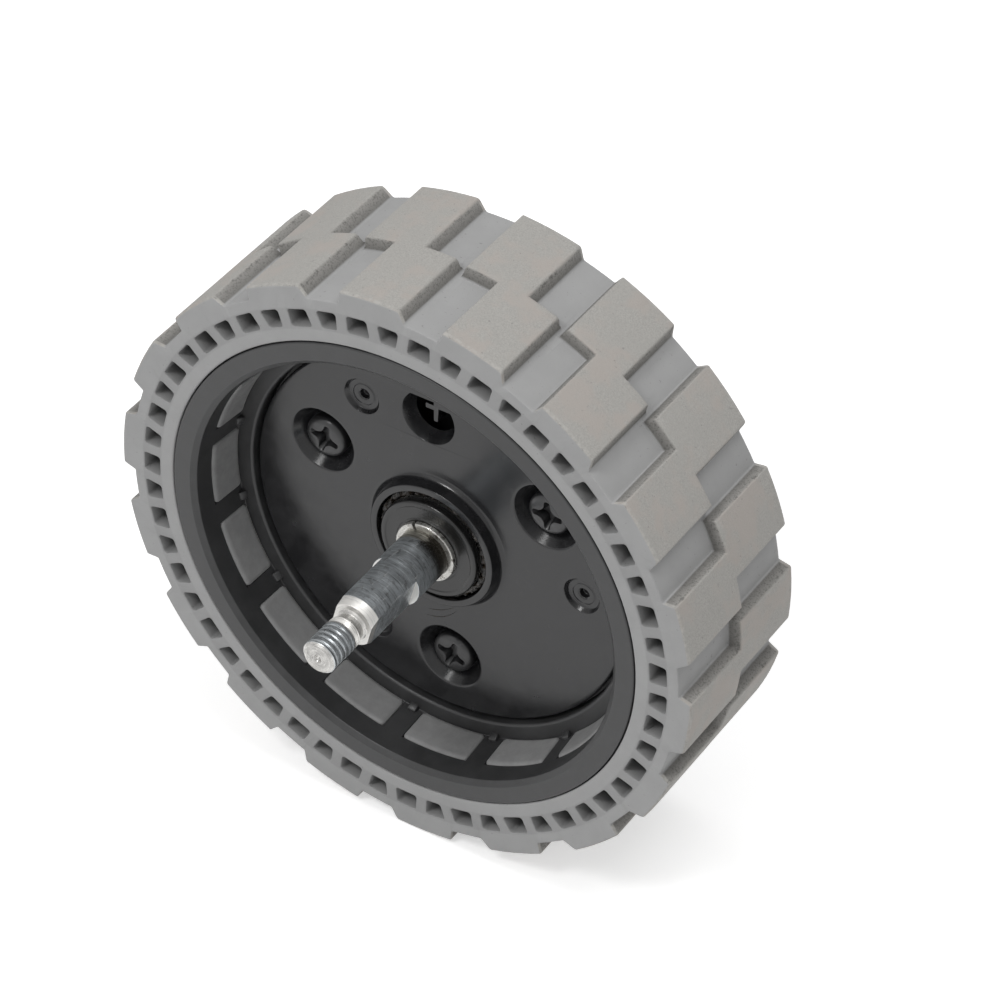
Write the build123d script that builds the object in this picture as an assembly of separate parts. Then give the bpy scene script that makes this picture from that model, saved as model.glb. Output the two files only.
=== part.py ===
from build123d import *
import math
import os

# Drive wheel of a robot vacuum on its stub axle, millimetres.
# The axle lies along Y with its threaded end at -Y, and +Z is up.
# The origin is on the axle's axis, in the plane of the tyre's inboard face.
# Angles are in degrees, seen from -Y, and count from +X towards +Z.

# Tyre
tread_radius = 36.0
tyre_width = 20.6
tread_depth = 1.5
tread_edge = 0.3
block_count = 18
front_row_start_angle = 8.8
row_stagger_angle = 6.0
block_top_angle = 11.4
low_flank_angle = 1.8
high_flank_angle = 1.0
row_overlap = 0.8
cell_pairs = 27
cell_seam_wall = 1.75
cell_height = 2.05
cell_tread_wall = 1.4
cell_depth = 9.2
wide_cell_centre_angle = 4.3
wide_cell_inner_angle = 5.0
wide_cell_outer_angle = 4.2
narrow_cell_centre_angle = 10.95
narrow_cell_inner_angle = 3.3
narrow_cell_outer_angle = 4.4

# Rim
flange_width = 1.2
flange_height = 1.3
flange_land_width = 2.3
lip_width = 0.6
lip_depth = 0.5
wall_draft = 0.5
ledge_width = 2.0
ledge_round = 0.35
window_count = 15
window_angle = 18.4
window_centre_angle = 11.1
window_length = 4.05
window_to_ledge = 0.25
gusset_width = 1.5
gusset_reach = 0.75
gusset_height = 1.0
web_thickness = 1.8
web_rib_count = 6
web_rib_thickness = 1.2
web_rib_height = 3.6
web_rib_phase_angle = 30.0
housing_wall = 2.4
nose_wall = 0.85
nose_lip = 0.2
housing_lip = 0.4
bearing_land_height = 0.7

# Tyre pads that fill the rim's windows
pad_recess = 0.45

# Hub cover
cover_thickness = 1.6
cover_recess = 0.55
cover_clearance = 0.4
cover_edge_round = 0.3
cover_seat_width = 1.6
collar_height = 1.5
collar_wall = 0.8
collar_clearance = 0.1
collar_draft = 0.45
collar_foot_round = 0.7
screw_edge_distance = 7.15
screw_first_angle = 34.6
screw_count = 3
cup_radius = 4.0
cup_depth = 2.0
cup_wall = 0.9
cup_floor = 1.2
gate_edge_distance = 5.5
gate_first_angle = 1.8
gate_count = 3
gate_radius = 2.2
gate_depth = 0.5
gate_hole_radius = 0.55
gate_hole_depth = 0.6
port_edge_distance = 7.4
port_angle = 93.9
port_radius = 3.25
port_flat = 2.4
port_low_flat = 1.75
port_stem_width = 0.55
port_stem_length = 2.3
port_stem_side = 1.25
port_arm_length = 1.0
port_arm_width = 0.5
port_arm_drop = 0.4

# Cover screws
screw_head_radius = 2.7
screw_head_height = 1.75
screw_head_round = 0.55
screw_shank_radius = 1.4
screw_length = 6.0
screw_turn_angle = 37.0
screw_boss_wall = 1.7
screw_clearance = 0.2
cross_arm_length = 3.8
cross_arm_width = 0.8
cross_depth = 1.1

# Outer cap
cap_land_gap = 0.9
cap_recess = 0.3
cap_thickness = 1.2
cap_edge_round = 0.4
cap_dish_width = 7.0
cap_dish_depth = 0.35
cap_shoulder = 0.8
cap_skirt_thickness = 1.1
cap_skirt_length = 1.7
cap_clearance = 0.1
cap_inner_gap = 0.7

# Bearings, 6 x 12 x 4, with each ring's wall as a share of the section from bore to outside
bearing_bore_radius = 3.0
bearing_radius = 6.0
bearing_width = 4.0
inner_ring_share = 1 / 3
outer_ring_share = 17 / 60
ball_radius = 0.77
ball_clearance = 0.05
ball_count = 8
ball_sides = 8
cage_thickness = 0.45
cage_width = 2.1
track_half_width = 0.7
track_floor = 0.5
pocket_clearance = 0.1
shield_thickness = 0.2
shield_inset = 0.25
shield_gap = 0.2
bearing_spacing = 1.4
bearing_stand_out = 0.4

# Axle
axle_reach = 8.4
relief_radius = 1.6
relief_length = 1.35
thread_radius = 2.0
thread_length = 4.9
thread_chamfer = 0.35
shoulder_chamfer_length = 1.05
shoulder_chamfer_depth = 0.45
flat_distance = 2.25
flat_direction_angle = -15.0
journal_start = -0.35
centre_hole_radius = 0.5
centre_hole_depth = 0.6
axle_end_length = 0.5
axle_end_chamfer = 0.3

# Rings, washer and cap on the axle
slide_clearance = 0.05
dust_cap_gap = 0.83
dust_cap_height = 1.7
dust_cap_flange = 1.0
dust_cap_round = 0.3
clip_rise = 0.68
clip_thickness = 0.6
clip_groove_depth = 0.2
clip_gap_angle = 14.0
clip_gap_centre_angle = 112.0
spacer_step = 0.1
washer_rise = 0.6
washer_thickness = 0.5

# Stations along the axle, stacked inwards from the tyre's outboard face
cap_back = tyre_width - cap_recess
cap_front = cap_back - cap_thickness
axle_end = cap_front - cap_inner_gap
rear_clip_back = axle_end - axle_end_length
rear_clip_front = rear_clip_back - clip_thickness
rear_bearing_back = rear_clip_front - washer_thickness
rear_bearing_front = rear_bearing_back - bearing_width
front_bearing_back = rear_bearing_front - bearing_spacing
front_bearing_front = front_bearing_back - bearing_width
dust_cap_front = front_bearing_front - dust_cap_height
front_clip_front = dust_cap_front - clip_thickness
housing_front = front_bearing_front - nose_lip
housing_back = rear_bearing_back + housing_lip
cover_front = front_bearing_front + bearing_stand_out
cover_back = cover_front + cover_thickness
collar_front = cover_front - collar_height
cup_floor_front = cover_front + cup_depth
cup_back = cup_floor_front + cup_floor
ledge_depth = cover_front - cover_recess
window_back = ledge_depth - window_to_ledge
window_front = window_back - window_length
web_front = cover_back + web_rib_height
web_back = web_front + web_thickness
row_split = tyre_width / 2
shoulder_face = -axle_reach
thread_end = shoulder_face - relief_length
thread_tip = thread_end - thread_length

# Radii that follow from their neighbours
groove_floor_radius = tread_radius - tread_depth
cell_outer_radius = groove_floor_radius - cell_tread_wall
cell_inner_radius = cell_outer_radius - cell_height
seam_radius = cell_inner_radius - cell_seam_wall
tyre_seat_radius = seam_radius - flange_height
flange_land_radius = seam_radius - flange_land_width
lip_radius = flange_land_radius - lip_width
wall_foot_radius = lip_radius - wall_draft
ledge_inner_radius = wall_foot_radius - ledge_width
cover_radius = ledge_inner_radius - cover_clearance
cover_seat_radius = ledge_inner_radius - cover_seat_width
screw_circle_radius = cover_radius - screw_edge_distance
gate_circle_radius = cover_radius - gate_edge_distance
port_circle_radius = cover_radius - port_edge_distance
housing_radius = bearing_radius + housing_wall
nose_radius = bearing_radius + nose_wall
bearing_land_radius = bearing_radius - bearing_land_height
collar_bore_radius = nose_radius + collar_clearance
collar_radius = collar_bore_radius + collar_wall
collar_foot_radius = collar_radius + collar_draft
cap_radius = flange_land_radius - cap_land_gap
cap_skirt_radius = cap_radius - cap_shoulder
cap_skirt_bore = cap_skirt_radius - cap_skirt_thickness
cap_skirt_seat = cap_skirt_radius + slide_clearance
screw_boss_radius = screw_shank_radius + screw_boss_wall
bearing_section = bearing_radius - bearing_bore_radius
inner_ring_radius = bearing_bore_radius + inner_ring_share * bearing_section
outer_ring_bore = bearing_radius - outer_ring_share * bearing_section
pitch_radius = (inner_ring_radius + outer_ring_bore) / 2
spacer_radius = inner_ring_radius - spacer_step
washer_radius = inner_ring_radius + washer_rise
dust_cap_radius = collar_bore_radius - dust_cap_gap
clip_radius = bearing_bore_radius + clip_rise
clip_groove_radius = bearing_bore_radius - clip_groove_depth
sleeve_bore_radius = bearing_bore_radius + slide_clearance

# How far a piece of a union runs into its neighbour
weld = 0.4


def polar(radius, angle):
    """Point of the sketch plane at a radius and an angle."""
    return (radius * math.cos(math.radians(angle)), radius * math.sin(math.radians(angle)))


def around(count, first, make):
    """What make gives for each of count even angles."""
    return [make(first + 360 * k / count) for k in range(count)]


def turned(*outline):
    """Solid of revolution about Y from (radius, y) corners."""
    return revolve(make_face(Polyline(*outline, close=True)), Axis.Y)


def ring(outer, inner, front, back):
    """Plain ring between two radii and two stations."""
    return turned((inner, front), (outer, front), (outer, back), (inner, back))


def slab(sketch, front, back):
    """Sketch, drawn as seen from -Y, extruded between two stations."""
    return extrude(Plane.XZ.offset(-back) * sketch, amount=back - front)


def wedge(inner, outer, inner_low, inner_high, outer_low, outer_high):
    """Face between two arcs, each with its own two end angles."""
    inner_arc = ThreePointArc(
        polar(inner, inner_high), polar(inner, (inner_low + inner_high) / 2), polar(inner, inner_low))
    outer_arc = ThreePointArc(
        polar(outer, outer_low), polar(outer, (outer_low + outer_high) / 2), polar(outer, outer_high))
    low_side = Line(polar(inner, inner_low), polar(outer, outer_low))
    high_side = Line(polar(outer, outer_high), polar(inner, inner_high))
    return make_face([low_side, outer_arc, high_side, inner_arc])


def sector(inner, outer, centre, inner_angle, outer_angle):
    """Wedge that is symmetrical about its centre angle."""
    return wedge(inner, outer, centre - inner_angle / 2, centre + inner_angle / 2,
                 centre - outer_angle / 2, centre + outer_angle / 2)


def tread_row(first, front, back):
    """One row of drafted tread blocks."""
    sunk = weld / tread_depth
    foot = groove_floor_radius - weld
    low = low_flank_angle * (1 + sunk)
    high = high_flank_angle * (1 + sunk)
    blocks = around(block_count, first, lambda a: wedge(
        foot, tread_radius, a - low, a + block_top_angle + high, a, a + block_top_angle))
    return slab(Sketch() + blocks, front, back)


def cells(front, back):
    """Trapezoid cavities of one side face, wide and narrow by turns."""
    wide = around(cell_pairs, wide_cell_centre_angle, lambda a: sector(
        cell_inner_radius, cell_outer_radius, a, wide_cell_inner_angle, wide_cell_outer_angle))
    narrow = around(cell_pairs, narrow_cell_centre_angle, lambda a: sector(
        cell_inner_radius, cell_outer_radius, a, narrow_cell_inner_angle, narrow_cell_outer_angle))
    return slab(Sketch() + wide + narrow, front, back)


def windows(inner, outer):
    """Sectors of the rim's windows, which the tyre's pads share."""
    return Sketch() + around(window_count, window_centre_angle, lambda a: sector(
        inner, outer, a, window_angle, window_angle))


def make_tyre():
    """Moulded tyre: carcass, two tread rows, side cells and window pads."""
    carcass = turned(
        (seam_radius, 0), (groove_floor_radius, 0),
        (groove_floor_radius, tyre_width), (seam_radius, tyre_width),
        (seam_radius, tyre_width - flange_width), (tyre_seat_radius, tyre_width - flange_width),
        (tyre_seat_radius, flange_width), (seam_radius, flange_width))
    front_row = tread_row(front_row_start_angle, 0, row_split + row_overlap / 2)
    back_row = tread_row(front_row_start_angle + row_stagger_angle, row_split - row_overlap / 2, tyre_width)
    pad_ring = turned(
        (wall_foot_radius, window_back), (wall_foot_radius + pad_recess, window_front),
        (tyre_seat_radius + weld, window_front), (tyre_seat_radius + weld, window_back))
    pad_sectors = windows(wall_foot_radius - weld, tyre_seat_radius + 2 * weld)
    pads = pad_ring & slab(pad_sectors, window_front, window_back)
    envelope = turned(
        (wall_foot_radius - weld, 0), (tread_radius - tread_edge, 0), (tread_radius, tread_edge),
        (tread_radius, tyre_width - tread_edge), (tread_radius - tread_edge, tyre_width),
        (wall_foot_radius - weld, tyre_width))
    body = (carcass + front_row + back_row + pads) & envelope
    return body - cells(0, cell_depth) - cells(tyre_width - cell_depth, tyre_width)


def rim_shell():
    """Flanges, wall, ledge, cover seat, web and outer cap seat in one turned shape."""
    seat_radius = cap_radius + cap_clearance
    return turned(
        (flange_land_radius, 0), (seam_radius, 0),
        (seam_radius, flange_width), (tyre_seat_radius, flange_width),
        (tyre_seat_radius, tyre_width - flange_width), (seam_radius, tyre_width - flange_width),
        (seam_radius, tyre_width), (flange_land_radius, tyre_width),
        (seat_radius, tyre_width - lip_depth), (seat_radius, cap_front),
        (cap_skirt_seat, cap_front), (cap_skirt_seat, web_back),
        (housing_radius - weld, web_back), (housing_radius - weld, web_front),
        (cover_seat_radius, web_front), (cover_seat_radius, cover_back),
        (ledge_inner_radius, cover_back), (ledge_inner_radius, ledge_depth + ledge_round),
        (ledge_inner_radius + ledge_round, ledge_depth),
        (wall_foot_radius, ledge_depth), (lip_radius, lip_depth))


def bearing_housing():
    """Hub tube with a pocket at each end and a land between the bearings."""
    step = cover_back + slide_clearance
    return turned(
        (bearing_radius, housing_front), (nose_radius, housing_front),
        (nose_radius, step), (housing_radius, step),
        (housing_radius, housing_back), (bearing_radius, housing_back),
        (bearing_radius, rear_bearing_front), (bearing_land_radius, rear_bearing_front),
        (bearing_land_radius, front_bearing_back), (bearing_radius, front_bearing_back))


def web_ribs(front, back, outer):
    """Radial ribs on one side of the rim's web, from the housing outwards."""
    inner = housing_radius - weld
    length = outer + weld - inner
    bar = Pos(inner + length / 2, 0) * Rectangle(length, web_rib_thickness)
    first = screw_first_angle - web_rib_phase_angle
    return slab(Sketch() + around(web_rib_count, first, lambda a: Rot(0, 0, a) * bar), front, back)


def gusset(angle):
    """Small block at the foot of a bar between two windows."""
    foot = wall_foot_radius
    profile = make_face(Polyline(
        (foot - gusset_reach, ledge_depth + weld), (foot + gusset_reach, ledge_depth + weld),
        (foot + gusset_reach, ledge_depth - gusset_height), (foot, ledge_depth - gusset_height),
        close=True))
    return Rot(0, -angle, 0) * extrude(profile, amount=gusset_width / 2, both=True)


def screw_spots():
    return around(screw_count, screw_first_angle, lambda a: Pos(*polar(screw_circle_radius, a)))


def make_rim():
    """Moulded rim with its web, ribs, bearing housing and screw bosses."""
    body = rim_shell() + bearing_housing()
    body += web_ribs(cover_back + slide_clearance, web_front, cover_seat_radius)
    body += web_ribs(web_back, housing_back, cap_skirt_seat)
    cup_pocket = cup_radius + cup_wall + cap_clearance
    for spot in screw_spots():
        body -= slab(spot * Circle(cup_pocket), cover_back, cup_back)
        body += slab(spot * Circle(screw_boss_radius), cup_back, housing_back)
        body -= slab(spot * Circle(screw_shank_radius), cup_back, housing_back)
    cut = windows(wall_foot_radius - weld, tyre_seat_radius + weld)
    body -= slab(cut, window_front, window_back)
    first_bar = window_centre_angle + 180 / window_count
    return body + around(window_count, first_bar, gusset)


def port_outline():
    """Round opening, flat at the top, with a T-shaped tab hanging into it."""
    span = 2 * port_radius
    stem_left = port_stem_side - port_stem_width
    arm_y = port_flat - port_arm_drop - port_arm_width / 2
    opening = Circle(port_radius)
    opening -= Pos(0, port_flat + span / 2) * Rectangle(span, span)
    opening -= Pos(port_stem_side + span / 2, port_low_flat + span / 2) * Rectangle(span, span)
    opening -= Pos(stem_left + port_stem_width / 2, port_flat - port_stem_length / 2) * Rectangle(
        port_stem_width, port_stem_length)
    opening -= Pos(stem_left - port_arm_length / 2, arm_y) * Rectangle(port_arm_length, port_arm_width)
    return Pos(*polar(port_circle_radius, port_angle)) * opening


def make_hub_cover():
    """Flat cover with its collar, screw cups, gate dimples and port."""
    body = turned(
        (collar_bore_radius, collar_front), (collar_radius, collar_front),
        (collar_foot_radius, cover_front - collar_foot_round),
        (collar_foot_radius + collar_foot_round, cover_front),
        (cover_radius - cover_edge_round, cover_front), (cover_radius, cover_front + cover_edge_round),
        (cover_radius, cover_back), (collar_bore_radius, cover_back))
    for spot in screw_spots():
        body += slab(spot * Circle(cup_radius + cup_wall), cover_back, cup_back)
        body -= slab(spot * Circle(cup_radius), cover_front, cup_floor_front)
        body -= slab(spot * Circle(screw_shank_radius + screw_clearance), cup_floor_front, cup_back)
    gate_floor = cover_front + gate_depth
    for spot in around(gate_count, gate_first_angle, lambda a: Pos(*polar(gate_circle_radius, a))):
        body -= slab(spot * Circle(gate_radius), cover_front, gate_floor)
        body -= slab(spot * Circle(gate_hole_radius), gate_floor, gate_floor + gate_hole_depth)
    return body - slab(port_outline(), cover_front, cover_back)


def make_cover_screws():
    """Pan head screws with a cross recess, one in each cup."""
    head_top = cup_floor_front - screw_head_height
    shank_end = cup_floor_front + screw_length
    screw = turned(
        (0, head_top), (screw_head_radius - screw_head_round, head_top),
        (screw_head_radius, head_top + screw_head_round), (screw_head_radius, cup_floor_front),
        (screw_shank_radius, cup_floor_front), (screw_shank_radius, shank_end), (0, shank_end))
    bar = Rectangle(cross_arm_length, cross_arm_width)
    cross = bar + Rot(0, 0, 90) * bar
    screw -= slab(cross, head_top, head_top + cross_depth)
    places = around(screw_count, screw_first_angle, lambda a: polar(screw_circle_radius, a))
    return [Pos(x, 0, z) * Rot(0, k * screw_turn_angle, 0) * screw for k, (x, z) in enumerate(places)]


def make_outer_cap():
    """Dished cap that snaps into the rim's outboard side."""
    dish_radius = cap_radius - cap_dish_width
    skirt_front = cap_front - cap_skirt_length
    return turned(
        (0, cap_front), (cap_skirt_bore, cap_front), (cap_skirt_bore, skirt_front),
        (cap_skirt_radius, skirt_front), (cap_skirt_radius, cap_front),
        (cap_radius, cap_front), (cap_radius, cap_back - cap_edge_round),
        (cap_radius - cap_edge_round, cap_back), (dish_radius + cap_dish_depth, cap_back),
        (dish_radius, cap_back - cap_dish_depth), (0, cap_back - cap_dish_depth))


def track(race, land, floor):
    """Corners of a ball track, down one flank and up the other, in a race of some radius."""
    middle = bearing_width / 2
    return [(race, middle - land), (floor, middle - track_floor / 2),
            (floor, middle + track_floor / 2), (race, middle + land)]


def make_ball():
    """Ball with flat facets, which keeps what repeats most light."""
    half = ball_radius * math.tan(math.pi / ball_sides)
    slices = ((-ball_radius, half), (-half, ball_radius), (half, ball_radius), (ball_radius, half))
    return loft([Plane.XZ.offset(-y) * RegularPolygon(radius, ball_sides) for y, radius in slices], ruled=True)


def make_bearing():
    """Pieces of a shielded ball bearing whose front face is at y = 0."""
    middle = bearing_width / 2
    reach = ball_radius + ball_clearance
    outer_ring = turned(
        (bearing_radius, 0), (bearing_radius, bearing_width), (outer_ring_bore, bearing_width),
        *reversed(track(outer_ring_bore, track_half_width, pitch_radius + reach)), (outer_ring_bore, 0))
    inner_ring = turned(
        (bearing_bore_radius, 0), (bearing_bore_radius, bearing_width), (inner_ring_radius, bearing_width),
        *reversed(track(inner_ring_radius, track_half_width, pitch_radius - reach)), (inner_ring_radius, 0))
    cage = ring(pitch_radius + cage_thickness / 2, pitch_radius - cage_thickness / 2,
                middle - cage_width / 2, middle + cage_width / 2)
    pocket = 2 * (ball_radius + pocket_clearance)
    slot = Pos(pitch_radius, 0) * Rectangle(pocket, pocket)
    slots = Sketch() + around(ball_count, 0, lambda a: Rot(0, 0, a) * slot)
    cage -= slab(slots, middle - pocket / 2, middle + pocket / 2)
    ball = make_ball()
    balls = [Pos(x, middle, z) * ball
             for x, z in around(ball_count, 0, lambda a: polar(pitch_radius, a))]
    shield = ring(outer_ring_bore, inner_ring_radius + shield_gap, shield_inset,
                  shield_inset + shield_thickness)
    far_shield = Pos(0, bearing_width - 2 * shield_inset - shield_thickness, 0) * shield
    return {
        "outer_ring": [outer_ring],
        "inner_ring": [inner_ring],
        "balls": balls,
        "cage": [cage],
        "shields": [shield, far_shield],
    }


def make_axle():
    """Stub axle: thread, relief, double-D shaft, journal and two ring grooves."""
    journal = bearing_bore_radius
    body = turned(
        (0, thread_tip), (thread_radius - thread_chamfer, thread_tip),
        (thread_radius, thread_tip + thread_chamfer), (thread_radius, thread_end),
        (relief_radius, thread_end + thread_radius - relief_radius), (relief_radius, shoulder_face),
        (journal - shoulder_chamfer_depth, shoulder_face),
        (journal, shoulder_face + shoulder_chamfer_length),
        (journal, front_clip_front), (clip_groove_radius, front_clip_front),
        (clip_groove_radius, dust_cap_front), (journal, dust_cap_front),
        (journal, rear_clip_front), (clip_groove_radius, rear_clip_front),
        (clip_groove_radius, rear_clip_back), (journal, rear_clip_back),
        (journal, axle_end - axle_end_chamfer), (journal - axle_end_chamfer, axle_end),
        (0, axle_end))
    side = 2 * journal
    for way in (1, -1):
        waste = Pos(way * (flat_distance + side / 2), 0) * Rectangle(side, side)
        body -= slab(Rot(0, 0, flat_direction_angle) * waste, shoulder_face, journal_start)
    return body - turned(
        (0, thread_tip), (centre_hole_radius, thread_tip), (0, thread_tip + centre_hole_depth))


def make_clip(front):
    """Open retaining ring seated in its groove."""
    bore = clip_groove_radius + slide_clearance
    gap = sector(bore / 2, clip_radius + weld, clip_gap_centre_angle, clip_gap_angle, clip_gap_angle)
    return slab(Circle(clip_radius) - Circle(bore) - gap, front, front + clip_thickness)


def make_dust_cap():
    """Flanged cap between the front retaining ring and the front bearing."""
    flange_back = dust_cap_front + dust_cap_flange
    return turned(
        (sleeve_bore_radius, dust_cap_front), (dust_cap_radius - dust_cap_round, dust_cap_front),
        (dust_cap_radius, dust_cap_front + dust_cap_round), (dust_cap_radius, flange_back),
        (spacer_radius, flange_back), (spacer_radius, front_bearing_front),
        (sleeve_bore_radius, front_bearing_front))


def save(name, solids):
    """Write one node, a single solid or a group of separate ones."""
    model = Compound(children=solids) if len(solids) > 1 else solids[0]
    export_step(model, f"parts/{name}.step")


os.makedirs("parts", exist_ok=True)
save("tyre", [make_tyre()])
save("rim", [make_rim()])
save("hub_cover", [make_hub_cover()])
save("cover_screws", make_cover_screws())
save("outer_cap", [make_outer_cap()])
save("axle", [make_axle()])
save("front_dust_cap", [make_dust_cap()])
save("front_retaining_ring", [make_clip(front_clip_front)])
save("rear_retaining_ring", [make_clip(rear_clip_front)])
save("bearing_spacer", [ring(spacer_radius, sleeve_bore_radius, front_bearing_back, rear_bearing_front)])
save("rear_washer", [ring(washer_radius, sleeve_bore_radius, rear_bearing_back, rear_clip_front)])
for place, station in (("front", front_bearing_front), ("rear", rear_bearing_front)):
    for piece, solids in make_bearing().items():
        save(f"{place}_bearing_{piece}", [Pos(0, station, 0) * solid for solid in solids])
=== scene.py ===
import math

import bmesh
import bpy
from bpy.props import FloatProperty, FloatVectorProperty, IntProperty, PointerProperty
from mathutils import Matrix, Vector, noise
from mathutils.geometry import tessellate_polygon


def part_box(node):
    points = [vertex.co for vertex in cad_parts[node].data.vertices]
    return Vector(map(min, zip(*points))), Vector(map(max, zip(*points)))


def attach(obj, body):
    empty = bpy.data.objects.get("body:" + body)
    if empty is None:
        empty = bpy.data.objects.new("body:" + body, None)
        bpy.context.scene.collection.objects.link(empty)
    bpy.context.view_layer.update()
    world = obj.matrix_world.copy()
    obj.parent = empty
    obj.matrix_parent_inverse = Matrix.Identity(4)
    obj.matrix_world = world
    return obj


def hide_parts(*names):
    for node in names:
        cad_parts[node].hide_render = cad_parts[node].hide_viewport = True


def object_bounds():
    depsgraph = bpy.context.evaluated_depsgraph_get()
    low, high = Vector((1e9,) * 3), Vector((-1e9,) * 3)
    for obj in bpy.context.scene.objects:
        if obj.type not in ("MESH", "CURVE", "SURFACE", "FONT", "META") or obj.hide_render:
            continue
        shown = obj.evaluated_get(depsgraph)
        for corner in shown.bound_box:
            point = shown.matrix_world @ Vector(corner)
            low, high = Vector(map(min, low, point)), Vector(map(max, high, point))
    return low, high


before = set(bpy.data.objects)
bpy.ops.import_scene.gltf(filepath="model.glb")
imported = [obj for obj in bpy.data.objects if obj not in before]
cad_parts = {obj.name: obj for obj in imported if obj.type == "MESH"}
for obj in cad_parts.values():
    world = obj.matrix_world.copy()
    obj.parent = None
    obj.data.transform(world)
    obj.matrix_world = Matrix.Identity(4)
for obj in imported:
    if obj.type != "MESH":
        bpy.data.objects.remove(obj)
CAD_LOW, CAD_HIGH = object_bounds()

bl_info = {
    "name": "Robot vacuum wheel",
    "version": (1, 0, 0),
    "blender": (4, 5, 0),
    "location": "3D View > Sidebar > Wheel",
    "description": "Dresses a small rubber-tyred drive wheel on its stub axle",
    "category": "Add Mesh",
}

# The axle lies along Y with its thread at -Y, and angles count from +X towards +Z.
# Shapes are drawn in millimetres and stored in metres.
MM = 0.001

TYRE_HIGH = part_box("tyre")[1]
RIM_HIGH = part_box("rim")[1]
COVER_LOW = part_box("hub_cover")[0]
CAP_LOW, CAP_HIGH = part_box("outer_cap")
AXLE_LOW, AXLE_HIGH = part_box("axle")
DUST_CAP_LOW, DUST_CAP_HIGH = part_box("front_dust_cap")
CLIP_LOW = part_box("front_retaining_ring")[0]


def length(name, description, default):
    """Property for a size that the user types in length units."""
    return FloatProperty(name=name, description=description, default=default, unit="LENGTH", precision=5)


def power(name, description, default):
    """Property for a lamp's power."""
    return FloatProperty(name=name, description=description, default=default, unit="POWER")


def tint(name, description, default):
    """Property for a colour."""
    return FloatVectorProperty(name=name, description=description, default=default, subtype="COLOR",
                               min=0.0, max=1.0)


class TyreSizes(bpy.types.PropertyGroup):
    """Sizes of the rubber tyre"""
    tread_radius: length("Tread radius", "Axle to the tops of the tread blocks", TYRE_HIGH.z)
    width: length("Width", "Inboard to outboard face", TYRE_HIGH.y)
    tread_depth: length("Tread depth", "Groove floor to block tops", 1.5 * MM)
    seam_radius: length("Seam radius", "Axle to the seam between tyre and rim", RIM_HIGH.z)
    edge_round: length("Edge rounding", "Rounding of the blocks at the side faces", 0.3 * MM)
    cell_depth: length("Cell depth", "Depth of the cavities in the side faces", 9.2 * MM)
    pad_rise: length("Pad slope", "How far a window pad leans back towards its front edge", 0.32 * MM)


class RimSizes(bpy.types.PropertyGroup):
    """Sizes of the moulded rim"""
    window_count: IntProperty(name="Windows", description="Windows round the rim", default=15, min=1)
    window_front: length("Window front", "Station of the windows' front edge", 2.95 * MM)
    window_back: length("Window back", "Station of the windows' back edge", 7.0 * MM)
    edge_round: length("Edge rounding", "Rounding of the moulding's edges", 0.12 * MM)


class CoverSizes(bpy.types.PropertyGroup):
    """Sizes of the hub cover and its screws"""
    face: length("Face station", "Station of the cover's flat face", 7.8 * MM)
    cup_radius: length("Cup radius", "Radius of a screw cup", 4.0 * MM)
    cup_depth: length("Cup depth", "Depth of a screw cup", 2.0 * MM)
    gate_radius: length("Gate radius", "Radius of a gate dimple", 2.2 * MM)
    gate_depth: length("Gate depth", "Depth of a gate dimple", 0.5 * MM)
    screw_head_radius: length("Screw head radius", "Radius of a pan head", 2.5 * MM)


class AxleSizes(bpy.types.PropertyGroup):
    """Sizes of the stub axle"""
    radius: length("Shaft radius", "Radius of the round shaft", AXLE_HIGH.x)
    flat_distance: length("Flat distance", "Axis to each of the two flats", 2.25 * MM)
    thread_radius: length("Thread radius", "Outside radius of the thread", 2.0 * MM)
    thread_pitch: length("Thread pitch", "Advance of the thread in one turn", 0.7 * MM)
    thread_depth: length("Thread depth", "Crest to root of the thread", 0.04 * MM)


class Finishes(bpy.types.PropertyGroup):
    """Colours of the wheel"""
    rubber: tint("Rubber", "Worn rubber of the block tops", (0.392, 0.382, 0.362))
    moulded: tint("Moulded rubber", "Unworn rubber of the grooves and side faces", (0.355, 0.355, 0.355))
    pad: tint("Pad rubber", "Rubber of the window pads", (0.26, 0.26, 0.26))
    plastic: tint("Rim plastic", "Black plastic of the rim", (0.0285, 0.0287, 0.0295))
    cover: tint("Cover plastic", "Black plastic of the hub cover", (0.012, 0.012, 0.013))
    cap: tint("Dust cap", "Black plastic of the dust cap", (0.010, 0.010, 0.010))
    steel: tint("Axle steel", "Turned and milled steel", (0.55, 0.585, 0.61))
    bright: tint("Bright steel", "Thread, relief and bearing rings", (0.54, 0.53, 0.51))
    spring: tint("Spring steel", "Retaining rings", (0.62, 0.61, 0.58))
    screw: tint("Screw black", "Blackened screws", (0.016, 0.016, 0.017))
    grease: tint("Grease", "Grease in the groove round the dust cap", (0.020, 0.014, 0.009))
    brass: tint("Brass", "Bearing spacer", (0.60, 0.44, 0.18))
    nylon: tint("Nylon", "Bearing cages", (0.55, 0.50, 0.38))


class StageSizes(bpy.types.PropertyGroup):
    """Floor, lamps and world"""
    floor_size: length("Floor size", "Side of the square floor", 4.0)
    key_power: power("Key lamp", "Power of the lamp above", 0.68)
    fill_power: power("Fill lamp", "Power of the lamp in front", 0.25)
    glint_power: power("Glint lamp", "Power of the small lamp high in front", 0.75)
    world_level: FloatProperty(name="World level", description="Strength of the world's light", default=0.60,
                               subtype="FACTOR", min=0.0, max=2.0)


# Mesh building

WELD_DISTANCE = 2e-6


def in_mm(*lengths):
    """Lengths turned from metres into millimetres."""
    return [value / MM for value in lengths]


def polar(radius, angle, station):
    """Point in metres at a radius, an angle in degrees and a station, the lengths in millimetres."""
    turn = math.radians(angle)
    return Vector((radius * math.cos(turn), station, radius * math.sin(turn))) * MM


def spread(low, high, steps):
    """Even values from low to high, both ends kept."""
    return [low + (high - low) * i / steps for i in range(steps + 1)]


def full_turn(count):
    """Even angles all the way round, in degrees."""
    return [360 * i / count for i in range(count)]


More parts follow.
